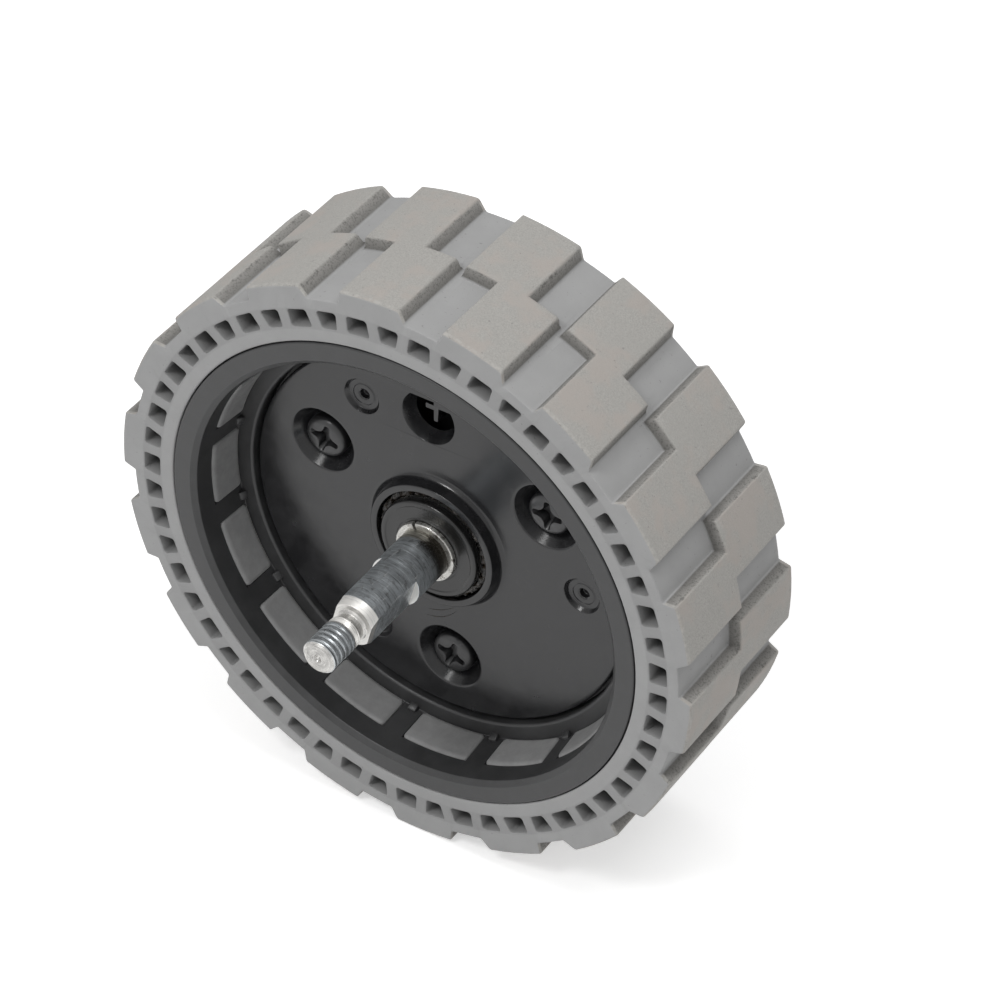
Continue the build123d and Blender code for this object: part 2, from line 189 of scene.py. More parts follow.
def turned(line, angles):
    """Rows of points that a line of (radius, station) points gives when turned through the angles."""
    return [[polar(r, a, y) for a in angles] for r, y in line]


def filleted(corners, steps=4, closed=False):
    """Line through (a, b, rounding) corners, each rounding turned into an arc."""
    line = []
    count = len(corners)
    for i, (a, b, rounding) in enumerate(corners):
        here = Vector((a, b))
        if not rounding or (not closed and i in (0, count - 1)):
            line.append(here)
            continue
        before = (Vector(corners[i - 1][:2]) - here).normalized()
        after = (Vector(corners[(i + 1) % count][:2]) - here).normalized()
        half = before.angle(after) / 2
        reach = rounding / math.tan(half)
        centre = here + (before + after).normalized() * (rounding / math.sin(half))
        start = here + before * reach - centre
        end = here + after * reach - centre
        line += [centre + start.slerp(end, k / steps) * rounding for k in range(steps + 1)]
    return line


def circle(radius, station, x=0.0, z=0.0, count=64):
    """Loop of points round a line along Y, in millimetres."""
    return [polar(radius, a, station) + Vector((x, 0.0, z)) * MM for a in full_turn(count)]


def sealed(bm, mesh):
    """Stores a mesh in the making, welded and with its faces outwards."""
    bmesh.ops.remove_doubles(bm, verts=bm.verts, dist=WELD_DISTANCE)
    bmesh.ops.recalc_face_normals(bm, faces=bm.faces)
    bm.to_mesh(mesh)
    bm.free()
    return mesh


class Shell:
    """Mesh in the making, whose patches are welded where their borders meet."""

    def __init__(self):
        self.bm = bmesh.new()

    def grid(self, rows, closed=False):
        """Quads between rows of equally many points."""
        lines = [[self.bm.verts.new(point) for point in row] for row in rows]
        for low, high in zip(lines, lines[1:]):
            count = len(low)
            for i in range(count if closed else count - 1):
                j = (i + 1) % count
                self.bm.faces.new((low[i], low[j], high[j], high[i])).smooth = True

    def tube(self, loops):
        """Walls between closed loops of equally many points."""
        self.grid(loops, closed=True)

    def plate(self, *loops):
        """Flat patch inside the first loop and outside the others."""
        verts = [self.bm.verts.new(point) for loop in loops for point in loop]
        large = [[point / MM for point in loop] for loop in loops]
        for corners in tessellate_polygon(large):
            self.bm.faces.new([verts[i] for i in corners])

    def block(self, loops):
        """Walls between closed loops, with plates over the first and the last."""
        self.tube(loops)
        self.plate(loops[0])
        self.plate(loops[-1])

    def sweep(self, line, angles, closed=False):
        """Turns a line of (radius, station) points through the angles."""
        self.grid(turned(line, angles), closed)

    def lathe(self, line, count=180):
        """Turns a line of (radius, station) points all the way round the axle."""
        self.sweep(line, full_turn(count), closed=True)

    def mesh(self, name):
        """Welded mesh with its faces outwards."""
        return sealed(self.bm, bpy.data.meshes.new(name))


# Node trees and pieces


class Wires:
    """Node tree in the making."""

    def __init__(self, tree):
        self.tree = tree
        tree.nodes.clear()

    def feed(self, socket, value):
        """Links a socket to another, or sets its value where there is one."""
        if isinstance(value, bpy.types.NodeSocket):
            self.tree.links.new(value, socket)
        elif value is not None:
            colour = socket.type == "RGBA" and not isinstance(value, (int, float))
            socket.default_value = (*value[:3], 1.0) if colour else value

    def add(self, kind, *first, **named):
        """Node with values for its first sockets and for sockets or settings by name."""
        node = self.tree.nodes.new(kind)
        for socket, value in zip(node.inputs, first):
            self.feed(socket, value)
        for key, value in named.items():
            socket = node.inputs.get(key.replace("_", " "))
            if socket:
                self.feed(socket, value)
            else:
                setattr(node, key, value)
        return node

    def math(self, operation, *values):
        return self.add("ShaderNodeMath", *values, operation=operation).outputs[0]

    def looked_at(self):
        """One for the camera's rays and for reflected rays, else zero."""
        path = self.add("ShaderNodeLightPath").outputs
        return self.math("MAXIMUM", path["Is Camera Ray"], path["Is Glossy Ray"])


def ring_tree():
    """Node tree that sets copies of a mesh evenly round the axle."""
    found = bpy.data.node_groups.get("copies round the axle")
    if found:
        return found
    tree = bpy.data.node_groups.new("copies round the axle", "GeometryNodeTree")
    tree.is_modifier = True
    for name, kind in (("Geometry", "Geometry"), ("Copies", "Int"), ("First Angle", "Float"),
                       ("Circle Radius", "Float"), ("Own Turn", "Float"), ("Material", "Material")):
        tree.interface.new_socket(name, in_out="INPUT", socket_type="NodeSocket" + kind)
    tree.interface.new_socket("Geometry", in_out="OUTPUT", socket_type="NodeSocketGeometry")
    w = Wires(tree)
    given = w.add("NodeGroupInput").outputs
    index = w.add("GeometryNodeInputIndex").outputs[0]
    step = w.math("DIVIDE", 2 * math.pi, given["Copies"])
    angle = w.math("ADD", given["First Angle"], w.math("MULTIPLY", index, step))
    x = w.math("MULTIPLY", given["Circle Radius"], w.math("COSINE", angle))
    z = w.math("MULTIPLY", given["Circle Radius"], w.math("SINE", angle))
    chance = w.add("FunctionNodeRandomValue", data_type="FLOAT", ID=index, Seed=4)
    w.feed([socket for socket in chance.inputs if socket.enabled][1], given["Own Turn"])
    own = [socket for socket in chance.outputs if socket.enabled][0]
    turn = w.math("MULTIPLY", w.math("ADD", angle, own), -1.0)
    place = w.add("ShaderNodeCombineXYZ", X=x, Z=z).outputs[0]
    rotation = w.add("ShaderNodeCombineXYZ", Y=turn).outputs[0]
    points = w.add("GeometryNodePoints", Count=given["Copies"], Position=place).outputs[0]
    copies = w.add("GeometryNodeInstanceOnPoints", Points=points, Instance=given["Geometry"],
                   Rotation=rotation).outputs[0]
    real = w.add("GeometryNodeRealizeInstances", Geometry=copies).outputs[0]
    welded = w.add("GeometryNodeMergeByDistance", Geometry=real, Distance=WELD_DISTANCE).outputs[0]
    painted = w.add("GeometryNodeSetMaterial", Geometry=welded, Material=given["Material"]).outputs[0]
    w.add("NodeGroupOutput", Geometry=painted)
    return tree


def placed(name, data):
    """New object at the origin for a mesh, a lamp or a camera."""
    obj = bpy.data.objects.new(name, data)
    bpy.context.scene.collection.objects.link(obj)
    return obj


def settled(obj):
    """Puts the mesh that the modifiers give in the object, and takes the modifiers off."""
    graph = bpy.context.evaluated_depsgraph_get()
    mesh = bpy.data.meshes.new_from_object(obj.evaluated_get(graph), preserve_all_data_layers=True,
                                           depsgraph=graph)
    obj.modifiers.clear()
    obj.data = mesh


def copied_round(obj, finish, **values):
    """Turns the object's mesh into even copies of it round the axle, as a plain mesh."""
    modifier = obj.modifiers.new("Copies", "NODES")
    modifier.node_group = ring_tree()
    wanted = {key.replace("_", " ").title(): value for key, value in values.items()}
    wanted["Material"] = finish
    for item in modifier.node_group.interface.items_tree:
        if item.in_out == "INPUT" and item.name in wanted:
            modifier[item.identifier] = wanted[item.name]
    settled(obj)
    bm = bmesh.new()
    bm.from_mesh(obj.data)
    sealed(bm, obj.data)


# Body and material slot of each CAD node that gets a dressed piece.
SEATS = {
    "tyre": ("wheel", "tyre_rubber"),
    "rim": ("wheel", "rim_plastic"),
    "hub_cover": ("wheel", "cover_plastic"),
    "cover_screws": ("wheel", "screw_black"),
    "outer_cap": ("wheel", "rim_plastic"),
    "axle": ("stub_axle", "axle_steel"),
    "front_retaining_ring": ("stub_axle", "spring_steel"),
    "front_dust_cap": ("stub_axle", "cap_plastic"),
}


def piece(name, mesh, finish_name, node, bevel=0.0, sharp=50.0, **copying):
    """Piece in place of a CAD node: copied round the axle if asked, rounded, smoothed and painted."""
    obj = placed(name, mesh)
    finish = finish_for(finish_name)
    if copying:
        copied_round(obj, finish, **copying)
    if bevel:
        rounding = obj.modifiers.new("Edges", "BEVEL")
        rounding.width = bevel
        rounding.segments = 2
        rounding.limit_method = "ANGLE"
        rounding.angle_limit = math.radians(35)
        rounding.use_clamp_overlap = False
        settled(obj)
    obj.data.set_sharp_from_angle(angle=math.radians(sharp))
    weighted = obj.modifiers.new("Normals", "WEIGHTED_NORMAL")
    weighted.keep_sharp = True
    settled(obj)
    obj.data.materials.clear()
    obj.data.materials.append(finish)
    body, slot = SEATS[node]
    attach(obj, body)
    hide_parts(node)


# Materials, whose sizes are in millimetres

DUST = (0.10, 0.10, 0.095)
SOIL = (0.05, 0.037, 0.025)
SMEAR = (0.020, 0.015, 0.010)
WARM_RUBBER = (0.405, 0.372, 0.345)
AGED_STEEL = ((0.16, 0.145, 0.12), (0.44, 0.42, 0.36))
THREAD_SHADE = 1.1


class Finish(Wires):
    """Procedural material on Object coordinates, built node by node."""

    def __init__(self, name, **constants):
        self.material = bpy.data.materials.new(name)
        self.material.use_nodes = True
        super().__init__(self.material.node_tree)
        self.shader = self.add("ShaderNodeBsdfPrincipled", **constants)
        self.add("ShaderNodeOutputMaterial", self.shader.outputs[0])
        metres = self.add("ShaderNodeTexCoord").outputs["Object"]
        self.place = self.add("ShaderNodeVectorMath", metres, operation="SCALE", Scale=1 / MM).outputs[0]

    def times(self, product, *factors):
        """Product of two or more values."""
        for factor in factors:
            product = self.math("MULTIPLY", product, factor)
        return product

    def split(self):
        """Object coordinates x, y and z."""
        return self.add("ShaderNodeSeparateXYZ", self.place).outputs

    def radius(self):
        """Distance from the axle."""
        x, _, z = self.split()
        return self.math("SQRT", self.math("ADD", self.times(x, x), self.times(z, z)))

    def round_place(self, stretch):
        """Coordinates that run round the axle, squeezed along the turn."""
        x, y, z = self.split()
        turn = self.times(self.math("ARCTAN2", z, x), stretch)
        return self.add("ShaderNodeCombineXYZ", turn, y, self.radius()).outputs[0]

    def noise(self, size, detail=2.0, roughness=0.5, place=None, stretch=None):
        """Noise whose grains measure about size."""
        vector = place or self.place
        if stretch:
            vector = self.add("ShaderNodeMapping", Vector=vector, Scale=stretch).outputs[0]
        return self.add("ShaderNodeTexNoise", Vector=vector, Scale=1 / size, Detail=detail,
                        Roughness=roughness).outputs["Fac"]

    def ramp(self, value, low, high, start=0.0, end=1.0):
        """Smooth step of a value between low and high."""
        return self.add("ShaderNodeMapRange", interpolation_type="SMOOTHSTEP", Value=value, From_Min=low,
                        From_Max=high, To_Min=start, To_Max=end).outputs[0]

    def near(self, value, middle, outer, inner):
        """One within inner of the middle, falling to zero at outer."""
        return self.ramp(self.math("ABSOLUTE", self.math("SUBTRACT", value, middle)), outer, inner)

    def mix(self, factor, a, b):
        """Colour between a and b."""
        node = self.add("ShaderNodeMix", factor, data_type="RGBA")
        self.feed(node.inputs[6], a)
        self.feed(node.inputs[7], b)
        return node.outputs[2]

    def over(self, under, paint, value, low, high, amount=1.0):
        """Paint laid over a colour as a value goes from low to high."""
        return self.mix(self.ramp(value, low, high, 0.0, amount), under, paint)

    def bump(self, height, strength, distance, under=None):
        return self.add("ShaderNodeBump", Height=height, Strength=strength, Distance=distance * MM,
                        Normal=under).outputs[0]

    def surface(self, colour=None, roughness=None, normal=None):
        """Wires what varies into the shader and gives the material."""
        for name, value in (("Base Color", colour), ("Roughness", roughness), ("Normal", normal)):
            self.feed(self.shader.inputs[name], value)
        return self.material


def shade(colour, factor):
    """Colour made lighter or darker by a factor."""
    return tuple(min(part * factor, 1.0) for part in colour)


def rubber_finish(colours, sizes):
    """Grey tyre rubber: sanded block tops, smooth groove floors, granular flanks with painted shade towards
    the floor, and painted shade deep in the side cells.
    """
    def rubber(factor):
        return shade(colours.rubber, factor)

    f = Finish("tyre rubber", Specular_IOR_Level=0.3)
    radius = f.radius()
    station = f.split()[1]
    top_radius, depth, width, seam = in_mm(sizes.tread_radius, sizes.tread_depth, sizes.width,
                                           sizes.seam_radius)
    floor_radius = top_radius - depth
    top = f.ramp(radius, top_radius - 0.30, top_radius - 0.04)
    floor = f.ramp(radius, floor_radius + 0.30, floor_radius + 0.08)
    inset = f.math("MINIMUM", station, f.math("SUBTRACT", width, station))
    inward = f.ramp(radius, floor_radius - 0.2, floor_radius - 0.3)
    side = f.math("MAXIMUM", f.ramp(inset, 0.06, 0.01), inward)
    lip = f.ramp(inset, 0.50, 0.32)
    sand = f.noise(0.17, 3.0, 0.7)
    coarse = f.noise(0.24, 3.0, 0.75)
    patches = f.noise(3.6, 3.0, 0.6)
    wear = f.noise(0.7, 3.0, 0.7)
    moulded = f.over(shade(colours.moulded, 0.98), shade(colours.moulded, 1.02), patches, 0.3, 0.7)
    # Painted shade: each flank is painted darker towards the groove floor, under its own coarse dark grain.
    flank = f.over(rubber(0.50), rubber(0.80), radius, floor_radius, top_radius)
    flank = f.over(flank, rubber(0.34), coarse, 0.50, 0.37, 0.68)
    worn = f.over(rubber(0.86), rubber(1.07), sand, 0.35, 0.65)
    worn = f.over(worn, rubber(0.94), patches, 0.35, 0.7, 0.5)
    worn = f.over(worn, WARM_RUBBER, f.noise(6.0, 3.0, 0.7), 0.46, 0.62, 0.8)
    lip_tone = f.over(worn, rubber(1.16), wear, 0.42, 0.62, 0.8)
    colour = f.mix(top, f.mix(floor, f.mix(lip, flank, lip_tone), moulded), worn)
    rubbed = f.times(lip, top, f.ramp(wear, 0.45, 0.62, 0.0, 0.7))
    colour = f.mix(rubbed, colour, rubber(1.16))
    crumbs = f.times(f.ramp(radius, top_radius - 0.60, top_radius - 0.30),
                     f.ramp(radius, top_radius - 0.03, top_radius - 0.14),
                     f.ramp(f.noise(1.1, 4.0, 0.8), 0.56, 0.63, 0.0, 0.60))
    colour = f.mix(crumbs, colour, rubber(0.28))
    colour = f.mix(side, colour, moulded)
    # Painted shade: the cells' walls are painted darker the deeper they go, nearly black past about 3 mm.
    cell_painted_shade = f.times(f.ramp(radius, floor_radius - 1.1, floor_radius - 1.35),
                   f.ramp(radius, seam + 1.4, seam + 1.65), f.ramp(inset, 0.12, 3.2, 0.12, 0.92))
    colour = f.mix(cell_painted_shade, colour, shade(colours.moulded, 0.12))
    colour = f.over(colour, rubber(0.45), f.noise(0.45, 2.0, 0.6), 0.67, 0.74, 0.45)
    calm = f.math("MAXIMUM", f.times(f.math("MAXIMUM", floor, side), 0.85), f.times(top, 0.25))
    grain = f.times(f.math("ADD", coarse, sand), 0.5)
    normal = f.bump(grain, f.math("SUBTRACT", 0.9, f.times(calm, 0.9)), 0.12)
    return f.surface(colour, f.ramp(patches, 0.3, 0.7, 0.80, 0.68), normal)


def pad_finish(colours):
    """Smooth rubber of the pads in the rim's windows, with a little dust."""
    f = Finish("pad rubber", Specular_IOR_Level=0.4)
    dust = f.noise(1.6, 4.0, 0.6)
    colour = f.over(shade(colours.pad, 0.90), shade(colours.pad, 1.06), dust, 0.3, 0.75)
    return f.surface(colour, f.ramp(dust, 0.3, 0.7, 0.62, 0.50), f.bump(f.noise(0.12, 2.0, 0.6), 0.2, 0.05))


def plastic_finish(name, colour, rough, grain, dust=1.35):
    """Moulded plastic with a fine spark-eroded grain and a little dust."""
    f = Finish(name, Specular_IOR_Level=0.5)
    patches = f.noise(2.6, 4.0, 0.6)
    tone = f.over(colour, shade(colour, dust), patches, 0.35, 0.7)
    tone = f.over(tone, DUST, f.noise(0.22, 2.0, 0.7), 0.70, 0.76, 0.6)
    wave = f.bump(f.noise(4.0, 1.0), 0.05, 0.3)
    normal = f.bump(f.noise(0.09, 2.0, 0.5), grain, 0.03, wave)
    return f.surface(tone, f.ramp(patches, 0.3, 0.75, rough - 0.04, rough + 0.06), normal)


def turned_finish(name, colour, rough, mark, soil=0.0, marks=None):
    """Turned steel with tool marks and scratches, and with soil and a piece's own marks if asked."""
    f = Finish(name, Metallic=0.78)
    f.lines = f.noise(0.20, 3.0, 0.8, place=f.round_place(0.16))
    f.cloud = f.noise(1.5, 3.0, 0.65)
    f.grit = f.noise(0.13, 2.0, 0.6)
    bands = f.noise(0.9, 3.0, 0.7, place=f.round_place(0.8))
    scratches = f.noise(0.30, 4.0, 0.75, stretch=(1.0, 0.12, 1.0))
    tone = f.over(shade(colour, 0.78), shade(colour, 1.10), bands, 0.38, 0.62)
    for factor, value, low, high, amount in (
            (0.30, f.lines, 0.47, 0.36, 0.80), (1.7, f.lines, 0.58, 0.68, 0.75),
            (1.8, scratches, 0.60, 0.67, 0.55), (0.6, f.cloud, 0.50, 0.68, 0.40),
            (0.4, f.grit, 0.42, 0.34, 0.35)):
        tone = f.over(tone, shade(colour, factor), value, low, high, amount)
    if soil:
        tone = f.over(tone, SOIL, f.noise(0.7, 3.0, 0.6), 0.58, 0.66, soil)
    if marks:
        tone = marks(f, tone)
    roughness = f.ramp(f.cloud, 0.3, 0.7, rough - 0.06, rough + 0.10)
    return f.surface(tone, roughness, f.bump(f.lines, mark, 0.05))


def shaft_marks(f, tone):
    """Lays the aged band, the grease smear beside the ring and a painted highlight on the flats' end step
    and on the shoulder over the shaft's tone.
    """
    x, station, _ = f.split()
    tone = f.over(tone, f.over(*AGED_STEEL, f.lines, 0.40, 0.60), station, 3.5, 3.9, 0.9)
    ragged = f.math("ADD", x, f.times(f.math("SUBTRACT", f.cloud, 0.5), 4.0))
    smear = f.times(f.ramp(station, 2.2, 3.6), f.ramp(ragged, 0.3, 1.0))
    tone = f.mix(f.times(smear, f.ramp(f.grit, 0.62, 0.50, 0.7, 0.97)), tone, SMEAR)
    # Painted highlight: the step at the flats' end and the shoulder at the outer end are painted bright,
    # broken by the tool lines.
    step = f.times(f.near(station, -0.36, 0.10, 0.06), f.ramp(f.radius(), 2.97, 2.93))
    painted_end_highlight = f.math("MAXIMUM", step, f.ramp(station, -7.30, -7.42))
    bright = shade(bpy.context.scene.wheel_finishes.bright, 1.2)
    return f.mix(f.times(painted_end_highlight, f.ramp(f.lines, 0.36, 0.5, 0.7, 1.0)), tone, bright)


def thread_marks(f, tone):
    """Lays the thread's steel with its draw lines and painted shade in its roots, a painted highlight on the
    ring behind it, and painted shade in the notch and on the neck, over the end's tone.
    """
    colours = bpy.context.scene.wheel_finishes
    bright, steel = shade(colours.bright, THREAD_SHADE), colours.steel
    station, radius = f.split()[1], f.radius()
    # Painted highlight: the ring behind the thread is painted bright, broken by the tool lines.
    ring = f.times(f.ramp(station, -10.76, -10.66), f.ramp(station, -9.50, -9.62),
                   f.ramp(f.lines, 0.44, 0.54, 0.25, 0.85))
    tone = f.mix(ring, tone, shade(bright, 1.3))
    # Painted shade: a thin dark line in the notch behind the thread.
    tone = f.mix(f.times(f.near(station, -9.90, 0.06, 0.03), 0.7), tone, shade(bright, 0.4))
    # Painted shade: the steel within about 1.7 mm of the axis, the sunk neck above all, is painted darker.
    tone = f.over(tone, shade(bright, 0.55), radius, 1.83, 1.70, 0.35)
    thread_steel_and_root_shade = f.over(shade(steel, 0.65), shade(steel, 1.5), f.lines, 0.42, 0.58)
    # Painted shade: the thread's roots are painted darker than its crests.
    thread_steel_and_root_shade = f.over(thread_steel_and_root_shade, shade(steel, 0.45), radius, 1.99, 1.965, 0.45)
    return f.mix(f.times(f.ramp(station, -14.42, -14.30), f.ramp(station, -10.66, -10.78), 0.9), tone, thread_steel_and_root_shade)


def screw_finish(colours):
    """Blackened steel, rubbed bright in places."""
    f = Finish("blackened screw", Specular_IOR_Level=0.8, Metallic=0.2)
    rub = f.noise(0.5, 3.0, 0.7)
    colour = f.over(colours.screw, shade(colours.screw, 4.0), rub, 0.62, 0.75, 0.6)
    return f.surface(colour, f.ramp(rub, 0.3, 0.7, 0.40, 0.28), f.bump(f.noise(0.10), 0.2, 0.03))


def greased_finish(colours):
    """Black plastic smeared with dark brown grease."""
    f = Finish("greased plastic", Specular_IOR_Level=0.6)
    smear = f.noise(0.45, 3.0, 0.65)
    colour = f.over(colours.cap, shade(colours.grease, 1.6), smear, 0.4, 0.6)
    return f.surface(colour, f.ramp(smear, 0.35, 0.65, 0.34, 0.16), f.bump(smear, 0.9, 0.25))


def floor_finish():
    """Pale floor that the camera sees as white and that still takes the wheel's shadow."""
    f = Finish("floor paint", Roughness=0.9, Specular_IOR_Level=0.1, Emission_Color=(1.0, 1.0, 1.0))
    f.feed(f.shader.inputs["Emission Strength"], f.times(f.looked_at(), 0.46))
    return f.surface(f.mix(f.noise(120.0, 2.0), (0.86, 0.86, 0.86), (0.88, 0.88, 0.88)))


def finish_for(name):
    """Material of one name, made the first time it is asked for."""
    found = bpy.data.materials.get(name)
    if found:
        return found
    scene = bpy.context.scene
    colours = scene.wheel_finishes
    make, *values = {
        "tyre rubber": (rubber_finish, colours, scene.wheel_tyre),
        "pad rubber": (pad_finish, colours),
        "blackened screw": (screw_finish, colours),
        "greased plastic": (greased_finish, colours),
        "rim plastic": (plastic_finish, name, colours.plastic, 0.42, 0.25),
        "cover plastic": (plastic_finish, name, colours.cover, 0.22, 0.10, 1.5),
        "dust cap plastic": (plastic_finish, name, colours.cap, 0.24, 0.12, 1.6),
        "cage nylon": (plastic_finish, name, colours.nylon, 0.45, 0.15, 1.1),
        "axle steel": (turned_finish, name, colours.steel, 0.38, 0.45, 0.35, shaft_marks),
        "thread steel": (turned_finish, name, shade(colours.bright, THREAD_SHADE), 0.30, 0.25, 0.0,
                         thread_marks),
        "bright steel": (turned_finish, name, colours.bright, 0.26, 0.12),
        "spring steel": (turned_finish, name, colours.spring, 0.28, 0.15, 0.8),
        "brass": (turned_finish, name, colours.brass, 0.28, 0.2),
    }[name]
    return make(*values)


# Tyre and rim, in millimetres and degrees

FRONT_ROW_CENTRE = 14.5
BACK_ROW_CENTRE = 20.5
ROW_OVERLAP = 0.4
BLOCK_PITCH = 20.0
BLOCK_HALF = 5.7
LOW_FLANK = 1.25
HIGH_FLANK = 0.7
END_RUN = 0.32
FLANK_BEND = 0.22
# Shares of a flank at which mesh lines cross it, close together at its two bends.
FLANK_MARKS = [end + FLANK_BEND * share for end in (0, 1) for share in (-1, -1 / 3, 1 / 3, 1)]
SECTOR_START = 0.77
SECTOR_ANGLE = 40.0
WINDOW_START = 1.9
WINDOW_END = 20.3
WINDOW_MIDDLE = (WINDOW_START + WINDOW_END) / 2
BAR_BEFORE = -0.9
BAR_AFTER = 23.1
RIM_SKIN = 28.0


def rise(t):
    """Ramp from 0 to 1 with rounded bends."""
    if t > 0.5:
        return 1 - rise(1 - t)
    if t >= FLANK_BEND:
        return t
    return max(0.0, t + FLANK_BEND) ** 2 / (4 * FLANK_BEND)


def row_height(angle, centre):
    """Height of a row's blocks at an angle, from 0 in the groove to 1 on top."""
    v = (angle - centre + BLOCK_PITCH / 2) % BLOCK_PITCH - BLOCK_PITCH / 2
    return min(rise((BLOCK_HALF + v) / LOW_FLANK + 1), rise((BLOCK_HALF - v) / HIGH_FLANK + 1))


def tread_columns():
    """Angles of one sector, close together on the flanks."""
    end = SECTOR_START + SECTOR_ANGLE
    angles = {end}
    for centre in (FRONT_ROW_CENTRE, BACK_ROW_CENTRE):
        for turn in (-1, 0, 1, 2):
            middle = centre + turn * BLOCK_PITCH
            angles.update(middle - BLOCK_HALF - LOW_FLANK * t for t in FLANK_MARKS)
            angles.update(middle + BLOCK_HALF + HIGH_FLANK * t for t in FLANK_MARKS)
            angles.update(middle + v for v in (-3.0, -1.0, 1.0, 3.0))
    kept = [SECTOR_START]
    for angle in sorted(angles):
        if angle <= end and angle - kept[-1] > 0.05:
            kept.append(angle)
    kept[-1] = end
    return kept


def cell_loop(centre, inner_angle, outer_angle, station, grow):
    """Loop of one side cavity, a trapezoid with rounded corners."""
    corners = []
    inner, outer = 31.05 - grow, 33.1 + grow
    for radius, angle, way in ((inner, inner_angle, -1), (inner, inner_angle, 1), (outer, outer_angle, 1),
                               (outer, outer_angle, -1)):
        turn = math.radians(centre + way * angle / 2) + way * grow / radius
        corners.append((radius * math.cos(turn), radius * math.sin(turn), 0.34 + grow))
    return [Vector((x, station, z)) * MM for x, z in filleted(corners, closed=True)]


def tyre_sector(sizes):
    """One ninth of the tyre, with two blocks of each row and three pairs of cells a side."""
    shell = Shell()
    top, tread, width, edge, seam, depth = in_mm(sizes.tread_radius, sizes.tread_depth, sizes.width,
                                                 sizes.edge_round, sizes.seam_radius, sizes.cell_depth)
    middle = width / 2
    lip_radius = seam + 0.35

    def outer_radius(angle, y):
        front, back = [min(row_height(angle, centre), rise((ROW_OVERLAP + inward) / END_RUN + 0.5))
                       for centre, inward in ((FRONT_ROW_CENTRE, middle - y), (BACK_ROW_CENTRE, y - middle))]
        height = max(front, back)
        inset = max(0.0, edge - min(y, width - y))
        drop = edge - math.sqrt(max(edge * edge - inset * inset, 0.0))
        return top - tread * (1 - height) - drop * (0.4 + 0.6 * height)

    stations = {0.0, edge * 0.12, edge * 0.4, edge, 3.0, 6.5}
    stations |= {middle - ROW_OVERLAP + END_RUN * (t - 0.5) for t in FLANK_MARKS}
    stations |= {width - y for y in stations}
    rows = [[polar(outer_radius(a, y), a, y) for a in tread_columns()] for y in sorted(stations)]
    shell.grid(rows)
    angles = spread(SECTOR_START, SECTOR_START + SECTOR_ANGLE, 20)
    lip = filleted([(lip_radius, 0.0, 0), (seam, 0.0, 0.22), (seam, 1.2, 0)])
    bore = [(seam - 1.3, 1.2), (seam - 1.3, width - 1.2)]
    shell.sweep(lip + bore + [(r, width - y) for r, y in reversed(lip)], angles)
    for station, way, outer_row in ((0.0, 1, rows[0]), (width, -1, rows[-1])):
        mouths = []
        for k in range(3):
            for centre, *spans in ((4.3, 5.0, 4.2), (10.95, 3.3, 4.4)):
                loops = [cell_loop(centre + k * SECTOR_ANGLE / 3, *spans, station + way * y, grow)
                         for y, grow in ((0.0, 0.14), (0.04, 0.04), (0.14, 0.0), (depth - 0.3, -0.12),
                                         (depth, -0.32))]
                mouths.append(loops[0])
                shell.tube(loops)
                shell.plate(loops[-1])
        shell.plate(outer_row + [polar(lip_radius, a, station) for a in reversed(angles)], *mouths)
    return shell.mesh("tyre sector")


def pad_module(sizes, rim):
    """One window pad with rounded corners and edges, leaning back towards its front edge."""
    shell = Shell()
    rise_back, front, back = in_mm(sizes.pad_rise, rim.window_front, rim.window_back)
    front -= 0.02
    back += 0.25
    corner, drop = 0.60, 0.32
    half = 9.16
    base = 25.68
    skirt = 27.9
    run = math.degrees(1 / base)
    steps = [0.0, 0.06, 0.16, 0.28, 0.43, corner]
    stations = [front + d for d in steps] + [front + 1.5, back - 1.5] + [back - d for d in reversed(steps)]
    angles = [-half + d * run for d in steps] + [-6.0, -3.0, 0.0, 3.0, 6.0]
    angles += [half - d * run for d in reversed(steps)]

    def pulled(angle, y):
        """Radius, angle and station of a point of the face, pulled onto the rounded corner."""
        across = math.copysign(max(0.0, corner - (half - abs(angle)) / run), angle)
        along = max(0.0, corner - (back - y)) - max(0.0, corner - (y - front))
        reach = max(abs(across), abs(along))
        if across and along:
            pull = reach / math.hypot(across, along) - 1
            angle += across * pull * run
            y += along * pull
        fall = drop * (1 - math.sqrt(max(1 - (reach / corner) ** 2, 0.0)))
        return base + rise_back * (back - y) / (back - front) + fall, WINDOW_MIDDLE + angle, y

    points = [[pulled(a, y) for a in angles] for y in stations]
    edges = []
    for rows in ([[polar(*point) for point in row] for row in points],
                 [[polar(skirt, a, y) for _, a, y in row] for row in points]):
        shell.grid(rows)
        edges.append(rows[0] + [row[-1] for row in rows[1:]] + rows[-1][-2::-1]
                     + [row[0] for row in rows[-2:0:-1]])
    shell.tube(edges)
    return shell.mesh("window pad")


